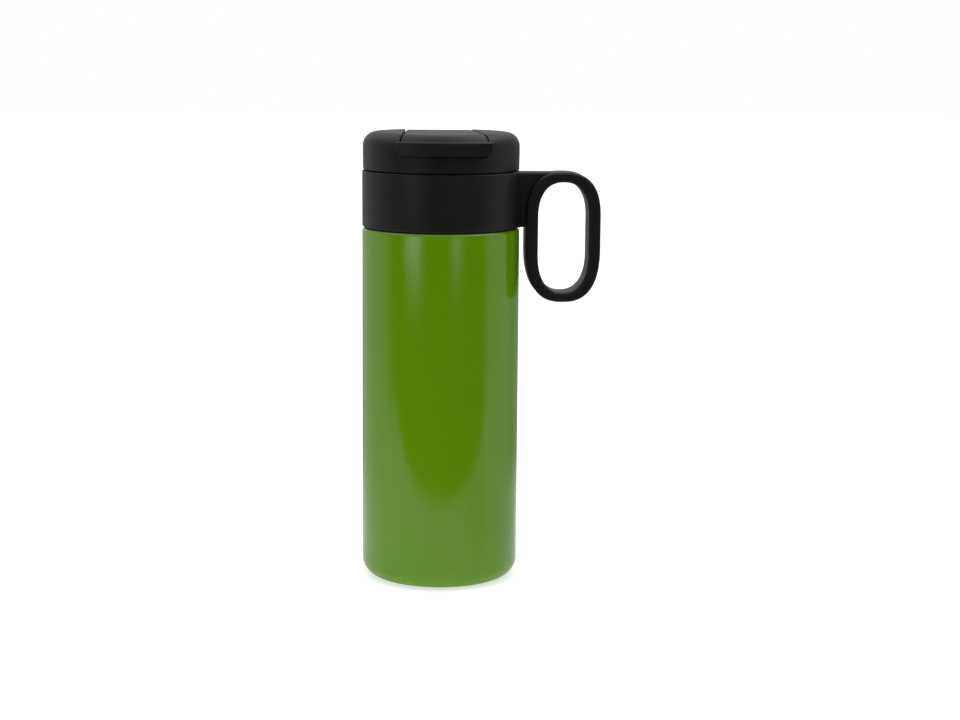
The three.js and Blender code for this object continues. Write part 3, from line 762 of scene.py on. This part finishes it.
def finger_recess():
    """The space cut from the skirt behind the tab, so that a fingernail gets under it."""
    half, (low, high) = RECESS_HALF, RECESS_Z
    corners = [(-half, high), (-half, low, TAB_CORNER), (half, low, TAB_CORNER), (half, high)]
    outline = filleted(corners, closed=True, steps=8)
    block = ring_mesh("recess", [[(x, y, z) for x, z in outline] for y in (-60, -20)], False)
    r, bottom, top = LID_R - RECESS_DEPTH, low - 5 * PAST, high + 5 * PAST
    core = turned("core", [(CENTRE, bottom), (r, bottom), (r, top), (CENTRE, top)], closed=False)
    return combine(block, core, "DIFFERENCE")


def tray_hole(name, radius, y, half):
    return slot_solid(name, [(radius, TRAY_Z - 3), (radius, TRAY_Z + 2)], y, half)


def lid_shell():
    """The moulded top: skirt, two cheeks, and between them the channel with the spout and the vent."""
    whole = combine(lid_form(), tray(), "UNION")
    whole = combine(whole, channel(), "DIFFERENCE")
    whole = combine(whole, knuckle_bar("knuckle", GAP, CHANNEL_GAP), "DIFFERENCE")
    whole = combine(whole, finger_recess(), "DIFFERENCE")
    whole = combine(whole, tray_hole("spout", SPOUT_R, SPOUT_Y, SPOUT_HALF), "DIFFERENCE")
    whole = combine(whole, tray_hole("vent", VENT_R, VENT_Y, 0.0), "DIFFERENCE")
    spout_lip = lip("spout_lip", SPOUT_R, SPOUT_R + 1.6, SPOUT_LIP, (0.5, 0.4), SPOUT_Y, SPOUT_HALF)
    vent_lip = lip("vent_lip", VENT_R, VENT_R + 1.5, VENT_LIP, (0.3, 0.3), VENT_Y, 0.0)
    return joined([whole, spout_lip, vent_lip])


def lid_insert():
    """The threaded hollow plug, with the drinking duct and the vent tube."""
    foot, top = INSERT[0][2], 186.3
    flange_r = INSERT[1][0]
    wall = PLUG_WALL
    floor, shelf = foot + wall, FLANGE_Z + wall
    groove_low, groove_high = GROOVE_Z
    cup = turned(
        "cup",
        filleted(
            [
                (AXIS_R, foot),
                (PLUG_FOOT_R, foot, 0.5),
                (PLUG_FOOT_R, groove_low, 0.2),
                (GROOVE_R, groove_low, 0.2),
                (GROOVE_R, groove_high, 0.2),
                (PLUG_R, groove_high, 0.4),
                (PLUG_R, FLANGE_Z, 0.3),
                (flange_r, FLANGE_Z, 0.5),
                (flange_r, top, 0.2),
                (flange_r - wall, top, 0.2),
                (flange_r - wall, shelf, 0.4),
                (PLUG_R - wall, shelf, 0.4),
                (PLUG_R - wall, groove_high + wall, 0.4),
                (GROOVE_R - wall, groove_high + wall, 0.2),
                (GROOVE_R - wall, floor, 0.8),
                (AXIS_R, floor),
            ],
            closed=True,
            steps=5,
        ),
    )
    ducts = (("duct", SPOUT_R, SPOUT_Y, SPOUT_HALF), ("tube", VENT_R, VENT_Y, 0.0))
    for name, r, y, half in ducts:
        outside = [(r + DUCT_WALL, foot + 0.3), (r + DUCT_WALL, DUCT_TOP_Z)]
        cup = combine(cup, slot_solid(name, outside, y, half), "UNION")
    for name, r, y, half in ducts:
        bore = [(r, foot - PAST), (r, DUCT_TOP_Z + PAST)]
        cup = combine(cup, slot_solid(name, bore, y, half), "DIFFERENCE")
    return joined([cup, thread("ridge", PLUG_R, PLUG_CREST_R, THREAD_START_Z - THREAD_DROP)])


def plug_gasket():
    """The ring in the plug's groove, with a lip that reaches down to the seat in the neck."""
    inner = GROOVE_R + GAP
    shelf, top = GROOVE_Z[0] + HAIR, GROOVE_Z[1] - HAIR
    low = SEAT_Z + HAIR
    corners = [
        (inner, shelf, 0.2),
        (24.1, shelf, 0.1),
        (24.35, low, 0.2),
        (25.25, low, 0.3),
        (25.65, low + 1.3, 0.5),
        (25.5, top, 0.3),
        (inner, top, 0.3),
    ]
    return turned("gasket", filleted(corners, closed=True, steps=4))


def rim_gasket():
    """The flat ring between the plug's flange and the neck's rim."""
    low, high = LIP_Z + HAIR, FLANGE_Z - HAIR
    inner, outer = 26.0, 29.2
    corners = [(inner, low, 0.3), (outer, low, 0.5), (outer, high, 0.3), (inner, high, 0.3)]
    return turned("gasket", filleted(corners, closed=True, steps=4))


def hinge_pin():
    half = PIN[1][0]
    radius = (PIN[1][2] - PIN[0][2]) / 2
    profile = filleted([(0.05, -half), (radius, -half, 0.4), (radius, half, 0.4), (0.05, half)], steps=4)
    angles = [2 * math.pi * k / 48 for k in range(48)]
    rings = [[(x, HINGE_Y + r * math.cos(a), HINGE_Z + r * math.sin(a)) for a in angles] for r, x in profile]
    return ring_mesh("pin", rings, False)


# ---------------------------------------------------------------- flip cap


def tab_half(z):
    """Half-width of the tab at a height: its lower corners are round."""
    up = z - TAB_Z[0]
    if up >= TAB_CORNER:
        return TAB_HALF
    return TAB_HALF - TAB_CORNER + math.sqrt(max(0.0, TAB_CORNER**2 - (TAB_CORNER - up) ** 2))


def skirt(r, x):
    """The front of a circle round the axis, at one x."""
    return -math.sqrt(max(1.0, r**2 - x**2))


def tab_face(x):
    """The tab's bowed front, at one x."""
    return TAB_FRONT_Y + TAB_FACE_R - math.sqrt(TAB_FACE_R**2 - x**2)


def strap_section(x, sink=0.0):
    """The strap's outline in the plane of one x: knuckle, top, shoulder, end in the tab, and underside.

    Sink lowers the top along its normal, for the rounding of the strap's sides.
    """
    top = TOP_Z - CAP_DROP - sink
    knuckle_r = KNUCKLE_R - sink
    fillet = LID_FILLET - sink
    shoulder_r = LID_R - LID_FILLET
    centre_z = TOP_Z - CAP_DROP - LID_FILLET
    under_z = TRAY_Z + 0.4
    thick_r = 29.4  # further out than this the strap reaches down to the tray
    plateau = TAB_Z[1] - 0.02 - sink / 2
    corners = [(HINGE_Y - 1.5, HINGE_Z + knuckle_r - 0.02)]
    corners += [(y, top) for y in np.linspace(HINGE_Y - 4, skirt(shoulder_r, x) + 1.0, 24)]
    arc_end = math.acos((TAB_Z[1] + ROOT_RISE - centre_z) / fillet)
    for a in np.linspace(0, arc_end, 15):
        corners.append((skirt(shoulder_r + fillet * math.sin(a), x), centre_z + fillet * math.cos(a)))
    root = skirt(shoulder_r + fillet * math.sin(arc_end), x) - 0.35
    inside_tab = (skirt(LID_R + TAB_CLEAR, x) + tab_face(x)) / 2
    corners += [
        (root, plateau, 0.4),
        (inside_tab, plateau),
        *((y, under_z) for y in np.linspace(inside_tab, skirt(thick_r, x), 9)[:-1]),
        (skirt(thick_r, x), under_z, 0.3),
        (skirt(thick_r, x), CAP_UNDER_Z, 0.4),
        (0.0, CAP_UNDER_Z),
        (HINGE_Y - math.sqrt(knuckle_r**2 - (HINGE_Z - CAP_UNDER_Z) ** 2), CAP_UNDER_Z),
    ]
    outline = filleted(corners, closed=True, steps=5, even=True)
    start = math.atan2(CAP_UNDER_Z - HINGE_Z, -knuckle_r)
    knuckle = np.linspace(start, 2.5 * math.pi, 29)[1:-1]
    circle = [(HINGE_Y + knuckle_r * math.cos(a), HINGE_Z + knuckle_r * math.sin(a)) for a in knuckle]
    return np.array([*outline, *circle])


def tab_section(x, back_off=0.0):
    """The tab's outline in the plane of one x, drawn in by back_off for the rounding of its sides."""
    low, high = TAB_Z[0] + back_off, TAB_Z[1] - back_off
    face, back = tab_face(x) + back_off, skirt(LID_R + TAB_CLEAR, x) - back_off
    least = 0.05
    top_edge, low_edge = max(TAB_EDGE - back_off, least), max(TAB_LOW_EDGE - back_off, least)
    levels = np.linspace(high - top_edge - 0.1, low + low_edge + 0.1, 12)
    corners = [(back, high, least), (face, high, top_edge)]
    corners += [(face, z) for z in levels]
    corners += [(face, low, low_edge), (back, low, least)]
    corners += [(back, z) for z in levels[::-1]]
    return np.array(filleted(corners, closed=True, steps=5, even=True))


def across_x(name, section, half_at, edge, count=41):
    """A skin over sections across X, with rounded sides.

    Section gives the outline at an x and a set-back, and half_at the half-width at a section's (y, z).
    """
    rims = [(edge * math.sin(t), edge * (1 - math.cos(t))) for t in np.linspace(0, math.pi / 2, 7)[1:]]
    columns = [(-1, -out, back) for out, back in reversed(rims)]
    columns += [(u, 0, 0) for u in np.linspace(-1, 1, count)]
    columns += [(1, out, back) for out, back in rims]
    known = {}
    rings = []
    for u, out, back in columns:
        reach = np.full(len(section(0)), (TAB_HALF - edge) * u)
        for _ in range(4):
            places = np.round(reach, 2)
            for x in np.unique(places):
                if (x, back) not in known:
                    known[x, back] = section(x, back)
            points = np.array([known[x, back][i] for i, x in enumerate(places)])
            reach = u * (np.array([half_at(y, z) for y, z in points]) - edge)
        rings.append([(x + out, y, z) for x, (y, z) in zip(reach, points)])
    return ring_mesh(name, rings, False)


def flip_cap():
    """The strap and its finger tab, with a bore for the pin."""
    strap = across_x("strap", strap_section, lambda y, z: strap_half(min(y, HINGE_Y)), STRAP_EDGE)
    strap = split(strap, 1, (*FLARE_Y, HINGE_Y))
    tab = across_x("tab", tab_section, lambda y, z: tab_half(z), TAB_SIDE_EDGE)
    tab = split(tab, 2, np.linspace(TAB_Z[0], TAB_Z[0] + TAB_CORNER, 9)[1:])
    whole = combine(strap, tab, "UNION")
    return combine(whole, bar_x("bore", PIN_BORE_R, LID_R, HINGE_Y, HINGE_Z), "DIFFERENCE")


def spout_stopper():
    """A plug that reaches into the spout, under a head that rests on the spout's lip."""
    foot, seat, top = TRAY_Z - 3, TRAY_Z + SPOUT_LIP + HAIR, CAP_UNDER_Z - 0.02
    core, plug_r, head_r = 0.6, SPOUT_R - 0.35, SPOUT_R + 1.0
    corners = [
        (core, foot),
        (plug_r, foot, 0.9),
        (plug_r, seat, 0.3),
        (head_r, seat, 0.2),
        (head_r, top, 0.1),
        (core, top),
    ]
    return slot_solid("stopper", filleted(corners, steps=5))


def vent_stopper():
    """A button with a short tip that reaches into the vent."""
    foot, seat, top = TRAY_Z - 0.4, TRAY_Z + VENT_LIP + HAIR, CAP_UNDER_Z - 0.02
    core, tip_r, root_r, head_r = 0.1, 0.6, 0.75, 2.3
    corners = [
        (core, foot),
        (tip_r, foot, 0.25),
        (root_r, seat, 0.15),
        (head_r, seat, 0.2),
        (head_r, top, 0.1),
        (core, top),
    ]
    return slot_solid("stopper", filleted(corners, steps=4), VENT_Y, 0.0)


# ---------------------------------------------------------------- pieces

piece(outer_shell(), "flask", LACQUER, "outer_shell")
piece(inner_vessel(), "flask", STEEL, "inner_vessel")
piece(base_pad(), "flask", BLACK, "base_pad")
piece(handle_collar(), "flask", PLASTIC, "handle_collar")
piece(plug_gasket(), "lid_gaskets", CLEAR, "plug_gasket")
piece(rim_gasket(), "lid_gaskets", CLEAR, "rim_gasket")
piece(lid_shell(), "lid", PLASTIC, "lid_shell")
piece(lid_insert(), "lid", PLASTIC, "lid_insert")
piece(hinge_pin(), "lid", STEEL_PIN, "hinge_pin")
piece(flip_cap(), "cap", PLASTIC, "flip_cap")
piece(spout_stopper(), "cap", GREY, "spout_stopper")
piece(vent_stopper(), "cap", GREY, "vent_stopper")

INTERNAL = {
    "outer_bottom": STEEL,
    "vacuum_seal": GLASS,
    "getter_clip": STEEL,
    "getter_tablet": POWDER,
    "neck_ring": PLASTIC,
    "collar_seal": GREY,
    "lid_foam": FOAM,
    "duct_gasket": GREY,
}
for node, material in INTERNAL.items():
    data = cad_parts[node].data
    data.materials.clear()
    data.materials.append(material)


# ---------------------------------------------------------------- studio

CAMERA_PLACE = Vector((-0.0426, -0.8710, 0.2334))
CAMERA_YAW = math.radians(3.944)  # to the right of +Y
CAMERA_DOWN = math.radians(8.984)
CAMERA_ROLL = math.radians(0.47)
LENS = 75.56
SENSOR = 36.0


def camera():
    data = bpy.data.cameras.new("camera")
    data.lens = LENS
    data.sensor_width = SENSOR
    obj = bpy.data.objects.new("camera", data)
    bpy.context.scene.collection.objects.link(obj)
    down, yaw = CAMERA_DOWN, CAMERA_YAW
    forward = Vector((math.sin(yaw) * math.cos(down), math.cos(yaw) * math.cos(down), -math.sin(down)))
    right = Vector((math.cos(yaw), -math.sin(yaw), 0))
    up = right.cross(forward)
    rolled = math.cos(CAMERA_ROLL) * right + math.sin(CAMERA_ROLL) * up
    up = math.cos(CAMERA_ROLL) * up - math.sin(CAMERA_ROLL) * right
    turn = Matrix((rolled, up, -forward)).transposed()
    obj.matrix_world = Matrix.Translation(CAMERA_PLACE) @ turn.to_4x4()
    bpy.context.scene.camera = obj


class WorldShader(Shader):
    """Builds the world's nodes."""

    def __init__(self):
        world = bpy.data.worlds.new("studio")
        world.use_nodes = True
        bpy.context.scene.world = world
        self.tree = world.node_tree
        self.tree.nodes.clear()
        self.place = self.node("ShaderNodeTexCoord").outputs["Generated"]

    def window(self, value, low, high, soft):
        """1 between low and high, with soft edges."""
        rise = self.ramp(value, low - soft, low + soft)
        return self.math("MULTIPLY", rise, self.ramp(value, high + soft, high - soft))


# Panels of the studio as the flask sees them: middle and half-width in degrees round from the camera, positive
# to its right; softness of their sides; lowest elevation and its softness; highest elevation; brightness.
PANELS = [
    (-39, 11, 9, -3.95, 1.5, 14, 2.4),
    (24, 7, 8, -3.85, 1.3, 14, 1.2),
    (97, 26, 8, -60, 2.0, 34, 0.58),
    (160, 36, 8, -60, 2.0, 34, 0.30),
    (-118, 36, 14, -60, 2.0, 34, 0.60),
    (-86, 15, 16, -60, 2.0, -8.5, 0.15),
    (-170, 20, 8, -60, 2.0, 34, 0.26),
    (180, 30, 8, 1, 2.0, 34, 0.35),
    (-180, 30, 8, 1, 2.0, 34, 0.35),
]
TOP_LIGHT = 1.9
TOP_MIDDLE = 0.45  # how much less of it the reflections show in front and behind
TOP_SIDES = 1.3  # how much more towards the sides
TOP_RIGHT = 0.35  # and how much more of that to the right
TOP_LOWEST = 38  # degrees up
TOP_SOFT = 9
PANEL_HIGH_SOFT = 2
FRONT_FILL = 0.005


def studio_world():
    """White to the camera. To the flask: soft panels round it, a large light overhead, and a dark front."""
    w = WorldShader()
    axes = w.node("ShaderNodeSeparateXYZ", Vector=w.place)
    x, y, z = (axes.outputs[i] for i in range(3))
    round_deg = w.math("MULTIPLY", w.math("ARCTAN2", x, w.math("MULTIPLY", y, -1.0)), 180 / math.pi)
    from_camera = w.math("ADD", round_deg, math.degrees(CAMERA_YAW))
    elevation = w.math("MULTIPLY", w.math("ARCSINE", z), 180 / math.pi)
    ray = w.node("ShaderNodeLightPath").outputs
    rightward = w.math("MULTIPLY_ADD", x, TOP_RIGHT, -TOP_MIDDLE)
    sideways = w.math("MULTIPLY_ADD", w.math("ABSOLUTE", x), TOP_SIDES, rightward)
    change = w.math("MULTIPLY", sideways, ray["Is Glossy Ray"])
    above = w.ramp(elevation, TOP_LOWEST - TOP_SOFT, TOP_LOWEST + TOP_SOFT)
    overhead = w.math("MULTIPLY", above, w.math("ADD", change, 1.0))
    total = w.math("MULTIPLY_ADD", overhead, TOP_LIGHT, FRONT_FILL)
    for middle, half, soft, low, low_soft, high, bright in PANELS:
        across = w.window(from_camera, middle - half, middle + half, soft)
        rise = w.ramp(elevation, low - low_soft, low + low_soft)
        fall = w.ramp(elevation, high + PANEL_HIGH_SOFT, high - PANEL_HIGH_SOFT)
        upright = w.math("MULTIPLY", rise, fall)
        total = w.math("MULTIPLY_ADD", w.math("MULTIPLY", across, upright), bright, total)
    strength = w.choice(ray["Is Camera Ray"], total, 1.0)
    background = w.node("ShaderNodeBackground", Color=(1, 1, 1, 1), Strength=strength)
    output = w.node("ShaderNodeOutputWorld")
    w.tree.links.new(background.outputs[0], output.inputs["Surface"])


# How much of the floor the flask's reflections show, each as where the fading starts and ends, in metres: in
# front of the flask, all round at a distance, and behind it, past the places along Y in BEHIND.
FLOOR_FRONT = (-0.155, -0.20)
FLOOR_FAR = (0.25, 0.60)
FLOOR_BEHIND = (0.07, 0.31)
BEHIND = (-0.06, 0.04)
FLOOR_RIGHT = (0.03, 0.12)  # the part to the right is dimmer
FLOOR_RIGHT_LESS = 0.38
FLOOR_GLOW = 0.62
FLOOR_GLOW_REFLECTED = 0.30
FLOOR_REACH = 6.0
FLOOR_TONES = ((0.49, 0.49, 0.49), (0.51, 0.51, 0.51))
# Bounce light from the floor, stronger to the left of the flask and fading out with the distance from it.
BOUNCE_LEFT = (0.16, -0.08)
BOUNCE_NEAR = (0.40, 0.12)
BOUNCE = 0.80


def studio_floor():
    """A wide matt white floor, lit a little from below so that its shadows stay faint."""
    mesh = bpy.data.meshes.new("floor")
    corners = [(FLOOR_REACH * x, FLOOR_REACH * y, 0) for x, y in ((-1, -1), (1, -1), (1, 1), (-1, 1))]
    mesh.from_pydata(corners, [], [(0, 1, 2, 3)])
    floor = bpy.data.objects.new("floor", mesh)
    bpy.context.scene.collection.objects.link(floor)
    s = Shader("floor")
    mottle = s.noise(60, 3)
    paper = s.colours(s.between(mottle, 0, 1), *FLOOR_TONES)
    s.surface.inputs["Specular IOR Level"].default_value = 0.0
    ray = s.node("ShaderNodeLightPath").outputs
    place = s.node("ShaderNodeSeparateXYZ", Vector=s.place).outputs
    away = s.node("ShaderNodeVectorMath", {"operation": "LENGTH"}, i0=s.place).outputs["Value"]
    bounce = s.math("MULTIPLY", s.ramp(place["X"], *BOUNCE_LEFT), s.ramp(away, *BOUNCE_NEAR))
    bounce = s.math("MULTIPLY_ADD", s.math("MULTIPLY", bounce, ray["Is Diffuse Ray"]), BOUNCE, FLOOR_GLOW)
    glow = s.choice(ray["Is Glossy Ray"], bounce, FLOOR_GLOW_REFLECTED)
    s.finish(Base_Color=paper, Roughness=0.9, Emission_Color=(1, 1, 1, 1), Emission_Strength=glow)
    behind = s.math("MULTIPLY", s.ramp(place["Y"], *BEHIND), s.ramp(away, *FLOOR_BEHIND))
    edge = s.math("MAXIMUM", s.ramp(place["Y"], *FLOOR_FRONT), s.ramp(away, *FLOOR_FAR))
    edge = s.math("MAXIMUM", edge, behind)
    right = s.math("MULTIPLY", s.ramp(place["X"], *FLOOR_RIGHT), FLOOR_RIGHT_LESS)
    hidden = s.math("MULTIPLY", s.math("MAXIMUM", edge, right), ray["Is Glossy Ray"])
    clear = s.node("ShaderNodeBsdfTransparent")
    mix = s.node("ShaderNodeMixShader", Fac=hidden)
    s.tree.links.new(s.surface.outputs[0], mix.inputs[1])
    s.tree.links.new(clear.outputs[0], mix.inputs[2])
    s.tree.links.new(mix.outputs[0], s.tree.nodes["Material Output"].inputs["Surface"])
    mesh.materials.append(s.material)


camera()
studio_world()
studio_floor()
bpy.context.scene.view_settings.view_transform = "Standard"
